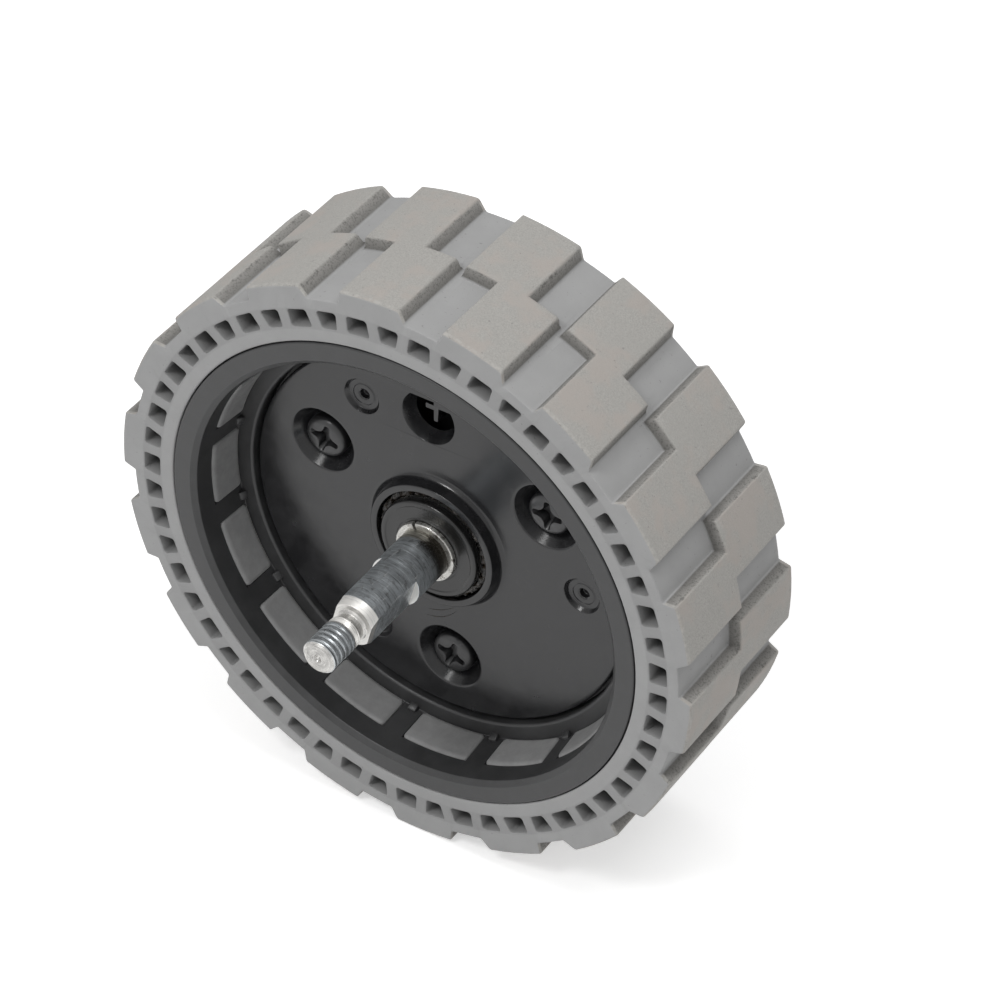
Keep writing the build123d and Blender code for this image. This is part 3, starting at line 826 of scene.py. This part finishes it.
def rim_sector(sizes):
    """One fifteenth of the rim's shell, with one window in its wall."""
    shell = Shell()
    front, back, width = in_mm(sizes.window_front, sizes.window_back, RIM_HIGH.y)
    window = spread(WINDOW_START, WINDOW_END, 9)
    bars = (spread(BAR_BEFORE, WINDOW_START, 2), spread(WINDOW_END, BAR_AFTER, 2))
    columns = bars[0][:-1] + window + bars[1][1:]
    ledge = 7.25

    def wall(y):
        return 26.4 - 0.5 * (y - 0.5) / (ledge - 0.5)

    nose = filleted([(RIM_SKIN, 1.2, 0), (29.3, 1.2, 0), (29.3, 0.75, 0), (29.16, 0.65, 0),
                     (29.16, 0.0, 0.2), (27.0, 0.0, 0.14), (26.4, 0.5, 0.22), (wall(front), front, 0)])
    inside = filleted([(wall(back), back, 0), (25.9, ledge, 0.10), (23.9, ledge, 0.35), (23.9, 9.4, 0),
                       (22.3, 9.4, 0), (22.3, 13.0, 0), (8.0, 13.0, 0), (8.0, 14.8, 0), (25.35, 14.8, 0.4),
                       (25.35, 19.1, 0), (26.2, 19.1, 0), (26.2, 20.1, 0.1), (27.0, width, 0.2),
                       (29.3, width, 0.16), (29.3, width - 1.2, 0), (RIM_SKIN, width - 1.2, 0)], 3)
    shell.sweep([(RIM_SKIN, front)] + nose, columns)
    shell.sweep(inside + [(RIM_SKIN, back)], columns)
    frames = []
    for at_front, at_back in ((wall(front), wall(back)), (RIM_SKIN, RIM_SKIN)):
        for bar in bars:
            shell.sweep([(at_front, front), (at_back, back)], bar)
        frames.append([polar(at_front, a, front) for a in window]
                      + [polar(at_back, a, back) for a in reversed(window)])
    shell.tube(frames)
    return shell.mesh("rim sector")


def gusset_module():
    """Small block at the foot of a bar between two windows."""
    shell = Shell()
    corners = [(25.3, 7.35), (25.3, 7.2), (25.7, 6.5), (26.3, 6.5), (26.3, 7.35)]
    turn = Matrix.Rotation(-math.radians(BAR_AFTER), 3, "Y")
    shell.block([[turn @ (Vector((r, y, z)) * MM) for r, y in corners] for z in (-0.52, 0.52)])
    return shell.mesh("gusset")


def rib_module():
    """Radial rib on the web, from the housing to the wall."""
    shell = Shell()
    for front, back, outer in ((9.45, 13.2, 22.5), (14.6, 17.2, 25.5)):
        corners = ((8.2, -0.6), (outer, -0.6), (outer, 0.6), (8.2, 0.6))
        shell.block([[Vector((x, y, z)) * MM for x, z in corners] for y in (front, back)])
    return shell.mesh("rib")


def strand(shell, start, bend, end):
    """Thin strand of grease on the cover's face, bent through one point."""
    start, bend, end = Vector(start), Vector(bend), Vector(end)
    face = COVER_LOW.y / MM + 1.5
    loops = []
    for t in spread(0.0, 1.0, 14):
        low, high = start.lerp(bend, t), bend.lerp(end, t)
        x, z = low.lerp(high, t)
        dx, dz = high - low
        across = Vector((dz, 0, -dx)).normalized()
        thick = 0.055 * math.sqrt(math.sin(math.pi * min(max(t, 0.04), 0.96)))
        turns = [math.radians(a) for a in full_turn(6)]
        loops.append([(Vector((x, face + thick * math.sin(a), z)) + across * thick * math.cos(a)) * MM
                      for a in turns])
    shell.tube(loops)


def housing_mesh():
    """Bearing housing: a turned tube, with grease lumps on the nose between dust cap and collar."""
    shell = Shell()
    line = filleted([(6.0, 7.2, 0), (6.15, 7.2, 0), (6.32, 7.2, 0), (6.5, 7.2, 0), (6.67, 7.2, 0),
                     (6.85, 7.2, 0.1), (6.85, 9.45, 0), (8.4, 9.45, 0), (8.4, 17.2, 0.15),
                     (6.0, 17.2, 0), (6.0, 16.8, 0), (5.3, 12.8, 0), (5.3, 11.4, 0), (6.0, 11.4, 0)], 3)
    shell.lathe(line + line[:1])
    for vertex in shell.bm.verts:
        radius = math.hypot(vertex.co.x, vertex.co.z) / MM
        if vertex.co.y < 7.4 * MM and 6.05 < radius < 6.8:
            lump = noise.noise(vertex.co / (0.55 * MM))
            vertex.co.y -= (0.22 + 0.45 * lump) * MM
    strand(shell, (-1.7, -11.6), (0.7, -11.4), (2.2, -9.3))
    strand(shell, (-1.4, -10.6), (0.4, -10.3), (1.9, -8.9))
    return shell.mesh("bearing housing")


# Hub cover, in millimetres and degrees

SCREW_CIRCLE = 16.35
SCREW_ANGLE = 34.6
GATE_CIRCLE = 18.0
GATE_ANGLE = 1.8


def port_loop(station, grow=0.0, tab_grow=0.0):
    """Port in the cover: round, flat at the top and right, with a T-shaped tab hanging into it."""
    centre_x, centre_z = -1.0954, 16.0627
    radius = 3.25 + grow
    top, right, low = 2.4 + grow, 1.25 + grow, 1.75 + grow
    stem_left, stem_right, stem_low = 0.7 + tab_grow, 1.25 - tab_grow, 0.1 - tab_grow
    arm_left, arm_top, arm_low = stem_left - 1.0, 2.0 + tab_grow, 1.5 - tab_grow
    start = 90 - math.degrees(math.acos(low / radius))
    end = math.degrees(math.acos(top / radius)) - 270
    turns = [math.radians(turn) for turn in spread(start, end, 40)]
    points = [(radius * math.cos(turn), radius * math.sin(turn)) for turn in turns]
    points += [(stem_left, top), (stem_left, arm_top), (arm_left, arm_top), (arm_left, arm_low),
               (stem_left, arm_low), (stem_left, stem_low), (stem_right, stem_low), (right, low)]
    return [Vector((centre_x + x, station, centre_z + z)) * MM for x, z in points]


def three_places(radius, first):
    """Centres of three even copies on a circle, in millimetres."""
    turns = [math.radians(first + 120 * k) for k in range(3)]
    return [(radius * math.cos(t), radius * math.sin(t)) for t in turns]


def sunk_cup(shell, centre, radius, face, floor, draft, round_in, round_floor):
    """Cup in the cover's face: rounded mouth, drafted wall, rounded foot. Gives its mouth and foot."""
    foot = radius - draft
    line = filleted([(radius + round_in + 0.1, face, 0), (radius, face, round_in),
                     (foot, floor, round_floor), (foot - round_floor - 0.1, floor, 0)], 5)
    loops = [circle(r, y, *centre) for r, y in line]
    shell.tube(loops)
    return loops[0], loops[-1]


def cover_mesh(sizes):
    """Flat cover with collar, screw cups, gate dimples and port."""
    shell = Shell()
    face, cup_radius, cup_depth, gate_radius, gate_depth = in_mm(
        sizes.face, sizes.cup_radius, sizes.cup_depth, sizes.gate_radius, sizes.gate_depth)
    back = face + 1.6
    bore, collar, flat, edge, boss = 6.95, 9.2, 22.9, 23.5, 4.9
    steps = 160
    shell.lathe(filleted([(bore, back, 0), (bore, face - 1.5, 0.12), (7.75, face - 1.5, 0.16),
                          (8.2, face, 0.75), (collar, face, 0)], 5), steps)
    shell.lathe(filleted([(flat, face, 0), (edge, face, 0.28), (edge, back, 0)]), steps)
    mouths, bosses = [], []
    floor = face + cup_depth
    for centre in three_places(SCREW_CIRCLE, SCREW_ANGLE):
        mouth, foot = sunk_cup(shell, centre, cup_radius, face, floor, 1.35, 0.32, 0.50)
        shell.plate(foot)
        wall = [circle(boss, y, *centre) for y in (back, floor + 1.2)]
        shell.tube(wall)
        shell.plate(wall[1])
        mouths.append(mouth)
        bosses.append(wall[0])
    floor = face + gate_depth
    pip = filleted([(1.35, floor, 0), (1.25, floor - 0.07, 0.05), (0.75, floor - 0.05, 0.05),
                    (0.55, floor + 0.05, 0.05), (0.5, floor + 0.6, 0.1), (0.0, floor + 0.6, 0)], 3)
    for centre in three_places(GATE_CIRCLE, GATE_ANGLE):
        mouth, foot = sunk_cup(shell, centre, gate_radius, face, floor, 0.32, 0.14, 0.24)
        rings = [circle(r, y, *centre) for r, y in pip]
        shell.tube(rings)
        shell.plate(foot, rings[0])
        mouths.append(mouth)
    port = [port_loop(face, 0.08, 0.05), port_loop(face + 0.08), port_loop(face + 0.9, -0.32),
            port_loop(back, -0.75)]
    shell.tube(port)
    for station, outer, inner, holes in ((face, flat, collar, [port[0]] + mouths),
                                         (back, edge, bore, [port[-1]] + bosses)):
        shell.plate(circle(outer, station, count=steps), circle(inner, station, count=steps), *holes)
    return shell.mesh("hub cover")


def screw_module(sizes):
    """Pan head with a pointed cross recess, turned about its own axis."""
    shell = Shell()
    face, cup_depth, head = in_mm(sizes.face, sizes.cup_depth, sizes.screw_head_radius)
    floor = face + cup_depth
    crown = floor - 1.75
    flat = 1.9
    count = 64
    seat = floor + 0.02
    shell.lathe(filleted([(head - 0.2, seat, 0), (head, floor - 0.02, 0.1), (head, crown + 0.3, 0.62),
                          (flat, crown, 0)], 6), count)
    reach = {0: 1.74, 6: 1.72, 11: 1.63, 14: 1.43, 18: 1.18, 24: 0.98, 34: 0.88, 45: 0.85}
    reach.update({90 - a: r for a, r in list(reach.items()) if a})
    turns = [(90 * quarter + angle, reach[angle]) for quarter in range(4) for angle in sorted(reach)]
    mouth, wall, foot = [[polar(radius * share + wider, turn, crown + depth) for turn, radius in turns]
                         for share, wider, depth in ((1, 0.10, 0), (1, 0, 0.12), (0.72, 0, 1.05))]
    shell.tube([mouth, wall, foot])
    shell.plate(foot)
    shell.plate(circle(flat, crown, count=count), mouth)
    shell.lathe([(head - 0.2, seat), (1.4, seat), (1.4, floor + 6.0), (0.0, floor + 6.0)], count)
    return shell.mesh("screw")


# Axle, in millimetres and degrees

FLATS_TURN = -15.0
FLAT_HALF_ANGLE = 41.41
RELIEF_END = -8.4


def shaft_row(radius, y, flat=0.0):
    """Section of the shaft at a station, with its two flats where flat is given."""
    half = FLAT_HALF_ANGLE
    if flat:
        half = math.degrees(math.acos(flat / radius)) if radius > flat * 1.005 else 5.0
    row = []
    for middle in (FLATS_TURN, FLATS_TURN + 180):
        angles = spread(middle - half, middle + half, 12)[:-1]
        angles += spread(middle + half, middle + 180 - half, 22)[:-1]
        for angle in angles:
            away = max(abs(math.cos(math.radians(angle - FLATS_TURN))), 1e-6)
            reach = min(radius, flat / away) if flat else radius
            row.append(polar(reach, angle, y))
    return row


def axle_mesh(sizes):
    """Shaft from the relief to its inner end: double-D, journal, ring groove and bearing seats."""
    shell = Shell()
    radius, flat = in_mm(sizes.radius, sizes.flat_distance)
    nose = filleted([(1.5, RELIEF_END, 0), (2.55, RELIEF_END, 0.10), (radius, -7.35, 0.10),
                     (radius, -0.35, 0)])
    tail = filleted([(radius, -0.3, 0), (radius, 5.1, 0.05), (2.8, 5.1, 0), (2.8, 5.7, 0),
                     (radius, 5.7, 0.05), (radius, 17.3, 0.05), (2.8, 17.3, 0), (2.8, 17.9, 0),
                     (radius, 17.9, 0.05), (radius, 18.1, 0.05), (2.7, 18.4, 0.05), (0.0, 18.4, 0)], 2)
    rows = [shaft_row(r, y, flat) for r, y in nose[:-1] + [(radius, -0.41)]]
    rows.append(shaft_row(radius, -0.35, flat + 0.03))
    rows += [shaft_row(r, y) for r, y in [(radius - 0.02, -0.35), (radius, -0.32)] + tail]
    shell.grid(rows, closed=True)
    return shell.mesh("shaft")


def thread_mesh(sizes):
    """Threaded end with its helix, end chamfer, centre dimple and relief."""
    shell = Shell()
    crest, pitch, depth, tip = in_mm(sizes.thread_radius, sizes.thread_pitch, sizes.thread_depth, AXLE_LOW.y)
    run_out, end = -10.55, -9.75
    angles = full_turn(72)

    def helix(angle, y):
        phase = ((y - tip) / pitch + angle / 360) % 1.0
        climb = min(1.0, max(0.0, abs(phase - 0.5) * 2.9 - 0.35))
        fade = min(1.0, (run_out - y) / 0.3)
        return min(crest - 0.03 * (1 - fade) - depth * climb * fade, 1.66 + y - tip)

    dimple = filleted([(0.0, tip + 0.08, 0), (0.20, tip + 0.08, 0.05), (0.31, tip + 0.28, 0.05),
                       (0.46, tip, 0.05), (1.62, tip, 0.04), (1.66, tip + 0.03, 0)], 3)
    neck = filleted([(crest - 0.03, run_out, 0), (crest - 0.27, run_out + 0.14, 0.03),
                     (crest - 0.02, end - 0.22, 0.04), (crest - 0.16, end - 0.14, 0.02),
                     (crest - 0.04, end + 0.02, 0.05), (1.60, end + 0.30, 0.08),
                     (1.60, RELIEF_END - 0.25, 0.12), (1.90, RELIEF_END - 0.02, 0.06),
                     (1.95, RELIEF_END + 0.02, 0)], 3)
    shell.grid(turned(dimple, angles)
               + [[polar(helix(a, y), a, y) for a in angles] for y in spread(tip + 0.03, run_out, 90)]
               + turned(neck[1:], angles), closed=True)
    return shell.mesh("thread")


def clip_mesh():
    """Open retaining ring with rounded edges."""
    shell = Shell()
    front = CLIP_LOW.y / MM
    section = filleted([(2.85, front, 0.06), (3.68, front, 0.14), (3.68, front + 0.6, 0.1),
                        (2.85, front + 0.6, 0.06)], 3, closed=True)
    gap, centre = 7.0, 112.0
    start, end = centre + gap / 2, centre + 360 - gap / 2
    shell.sweep(section + section[:1], spread(start, end, 90))
    for angle in (start, end):
        shell.plate([polar(r, angle, y) for r, y in section])
    return shell.mesh("retaining ring")


def dust_cap_mesh():
    """Flanged cap round the axle, with a sunk ring on its face."""
    front, back = in_mm(DUST_CAP_LOW.y, DUST_CAP_HIGH.y)
    line = filleted([(3.05, back, 0), (3.05, front, 0.1), (3.9, front, 0.05), (4.0, front + 0.08, 0.1),
                     (5.35, front + 0.08, 0.1), (5.5, front, 0.1), (6.12, front, 0.32),
                     (6.12, front + 1.0, 0.1), (3.9, front + 1.0, 0), (3.9, back, 0)], 5)
    shell = Shell()
    shell.lathe(line + line[:1], 120)
    return shell.mesh("dust cap")


def outer_cap_mesh():
    """Dished cap with a skirt that enters the rim."""
    front, back = in_mm(CAP_LOW.y, CAP_HIGH.y)
    seat = back - 1.2
    shell = Shell()
    shell.lathe(filleted([(0.0, seat, 0), (24.2, seat, 0), (24.2, front, 0), (25.3, front, 0.2),
                          (25.3, seat, 0), (26.1, seat, 0), (26.1, back, 0.4), (19.45, back, 0.3),
                          (19.1, back - 0.35, 0.3), (8.0, back - 0.35, 0.3), (7.6, back - 0.6, 0.3),
                          (0.0, back - 0.6, 0)]))
    return shell.mesh("outer cap")


# Operators


class WHEEL_OT_tyre(bpy.types.Operator):
    """Builds the rubber tyre with its tread blocks, side cells and window pads"""
    bl_idname = "wheel.tyre"
    bl_label = "Tyre"

    def execute(self, context):
        sizes, rim = context.scene.wheel_tyre, context.scene.wheel_rim
        piece("tyre_body", tyre_sector(sizes), "tyre rubber", "tyre", copies=9)
        piece("tyre_window_pads", pad_module(sizes, rim), "pad rubber", "tyre", copies=rim.window_count)
        return {"FINISHED"}


class WHEEL_OT_rim(bpy.types.Operator):
    """Builds the black rim with its windows, gussets, ribs, bearing housing and grease"""
    bl_idname = "wheel.rim"
    bl_label = "Rim"

    def execute(self, context):
        sizes = context.scene.wheel_rim
        for name, mesh in (("rim_shell", rim_sector(sizes)), ("rim_gussets", gusset_module())):
            piece(name, mesh, "rim plastic", "rim", bevel=sizes.edge_round, copies=sizes.window_count)
        piece("rim_ribs", rib_module(), "rim plastic", "rim", copies=6, first_angle=math.radians(4.6))
        piece("rim_bearing_housing", housing_mesh(), "greased plastic", "rim")
        return {"FINISHED"}


class WHEEL_OT_cover(bpy.types.Operator):
    """Builds the hub cover and its three screws"""
    bl_idname = "wheel.cover"
    bl_label = "Hub cover"

    def execute(self, context):
        sizes = context.scene.wheel_cover
        piece("cover_disc", cover_mesh(sizes), "cover plastic", "hub_cover")
        piece("cover_screw_heads", screw_module(sizes), "blackened screw", "cover_screws", sharp=35,
              copies=3, first_angle=math.radians(SCREW_ANGLE), circle_radius=SCREW_CIRCLE * MM,
              own_turn=math.radians(80))
        return {"FINISHED"}


class WHEEL_OT_axle(bpy.types.Operator):
    """Builds the axle, its thread, the front dust cap and the front ring"""
    bl_idname = "wheel.axle"
    bl_label = "Axle"

    def execute(self, context):
        sizes = context.scene.wheel_axle
        piece("axle_shaft", axle_mesh(sizes), "axle steel", "axle", sharp=28)
        piece("axle_thread_end", thread_mesh(sizes), "thread steel", "axle", sharp=35)
        piece("front_ring", clip_mesh(), "spring steel", "front_retaining_ring")
        piece("dust_cap", dust_cap_mesh(), "dust cap plastic", "front_dust_cap")
        return {"FINISHED"}


class WHEEL_OT_outer_cap(bpy.types.Operator):
    """Builds the dished cap on the outboard side"""
    bl_idname = "wheel.outer_cap"
    bl_label = "Outer cap"

    def execute(self, context):
        piece("outer_cap_disc", outer_cap_mesh(), "rim plastic", "outer_cap")
        return {"FINISHED"}


class WHEEL_OT_bearings(bpy.types.Operator):
    """Paints the bearings, the spacer, the washer and the rear ring"""
    bl_idname = "wheel.bearings"
    bl_label = "Bearings"

    def execute(self, context):
        finishes = {"balls": "bright steel", "outer_ring": "bright steel", "inner_ring": "bright steel",
                    "shields": "spring steel", "retaining_ring": "spring steel", "washer": "spring steel",
                    "cage": "cage nylon", "spacer": "brass"}
        for name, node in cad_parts.items():
            if node.hide_render:
                continue
            chosen = [finish for ending, finish in finishes.items() if name.endswith(ending)]
            if not chosen:
                raise RuntimeError(f"{name} has no finish")
            node.data.materials.clear()
            node.data.materials.append(finish_for(chosen[0]))
        return {"FINISHED"}


def lamp(name, place, size, power):
    """Square soft lamp that faces the wheel."""
    data = bpy.data.lights.new(name, "AREA")
    data.size = size
    data.energy = power
    obj = placed(name, data)
    obj.location = place
    obj.rotation_euler = (-Vector(place)).to_track_quat("-Z", "Y").to_euler()


class WHEEL_OT_stage(bpy.types.Operator):
    """Sets the pale floor, the soft lamps, the world and the camera"""
    bl_idname = "wheel.stage"
    bl_label = "Stage"

    def execute(self, context):
        scene = context.scene
        sizes = scene.wheel_stage
        half = sizes.floor_size / 2
        mesh = bpy.data.meshes.new("floor")
        sides = ((-half, -half), (half, -half), (half, half), (-half, half))
        mesh.from_pydata([(x, y, CAD_LOW.z) for x, y in sides], [], [(0, 1, 2, 3)])
        floor = placed("floor", mesh)
        floor.data.materials.append(floor_finish())
        scene.world = bpy.data.worlds.new("studio")
        scene.world.use_nodes = True
        w = Wires(scene.world.node_tree)
        level = w.add("ShaderNodeMapRange", Value=w.looked_at(), To_Min=sizes.world_level, To_Max=1.0)
        background = w.add("ShaderNodeBackground", Strength=level.outputs[0])
        w.add("ShaderNodeOutputWorld", background.outputs[0])
        lamp("key", (0.14, 0.02, 0.46), 0.25, sizes.key_power)
        lamp("fill", (-0.20, -0.50, 0.25), 0.40, sizes.fill_power)
        lamp("glint", (-0.088, -0.28, 0.43), 0.13, sizes.glint_power)
        scene.view_settings.view_transform = "Standard"
        camera_data = bpy.data.cameras.new("camera")
        camera_data.lens = 144.0
        camera_data.sensor_width = 36.0
        camera_data.clip_start = 0.01
        camera = placed("camera", camera_data)
        back = Vector((0.4144, -0.6382, 0.6488)).normalized()
        right = Vector((0.8387, 0.5446, 0.0)).normalized()
        up = back.cross(right)
        distance, aside, above = 0.420748, 0.0108117, 0.0083798
        turn = Matrix((right, up, back)).transposed().to_4x4()
        camera.matrix_world = Matrix.Translation(back * distance + right * aside + up * above) @ turn
        scene.camera = camera
        return {"FINISHED"}


class WHEEL_PT_panel(bpy.types.Panel):
    """Panel that lists the wheel's pieces and sizes"""
    bl_label = "Robot vacuum wheel"
    bl_idname = "WHEEL_PT_panel"
    bl_space_type = "VIEW_3D"
    bl_region_type = "UI"
    bl_category = "Wheel"

    def draw(self, context):
        for operator in OPERATORS:
            self.layout.operator(operator.bl_idname)
        for name, group in GROUPS.items():
            box = self.layout.box()
            box.label(text=group.bl_rna.description)
            for field in group.__annotations__:
                box.prop(getattr(context.scene, name), field)


GROUPS = {
    "wheel_tyre": TyreSizes,
    "wheel_rim": RimSizes,
    "wheel_cover": CoverSizes,
    "wheel_axle": AxleSizes,
    "wheel_finishes": Finishes,
    "wheel_stage": StageSizes,
}
OPERATORS = (WHEEL_OT_tyre, WHEEL_OT_rim, WHEEL_OT_cover, WHEEL_OT_axle, WHEEL_OT_outer_cap,
             WHEEL_OT_bearings, WHEEL_OT_stage)


def register():
    for item in (*GROUPS.values(), *OPERATORS, WHEEL_PT_panel):
        bpy.utils.register_class(item)
    for name, group in GROUPS.items():
        setattr(bpy.types.Scene, name, PointerProperty(type=group))


def unregister():
    for name in GROUPS:
        delattr(bpy.types.Scene, name)
    for item in (WHEEL_PT_panel, *reversed(OPERATORS), *reversed(GROUPS.values())):
        bpy.utils.unregister_class(item)


def main():
    register()
    bpy.ops.wheel.tyre()
    bpy.ops.wheel.rim()
    bpy.ops.wheel.cover()
    bpy.ops.wheel.axle()
    bpy.ops.wheel.outer_cap()
    bpy.ops.wheel.bearings()
    bpy.ops.wheel.stage()


if __name__ == "__main__":
    main()
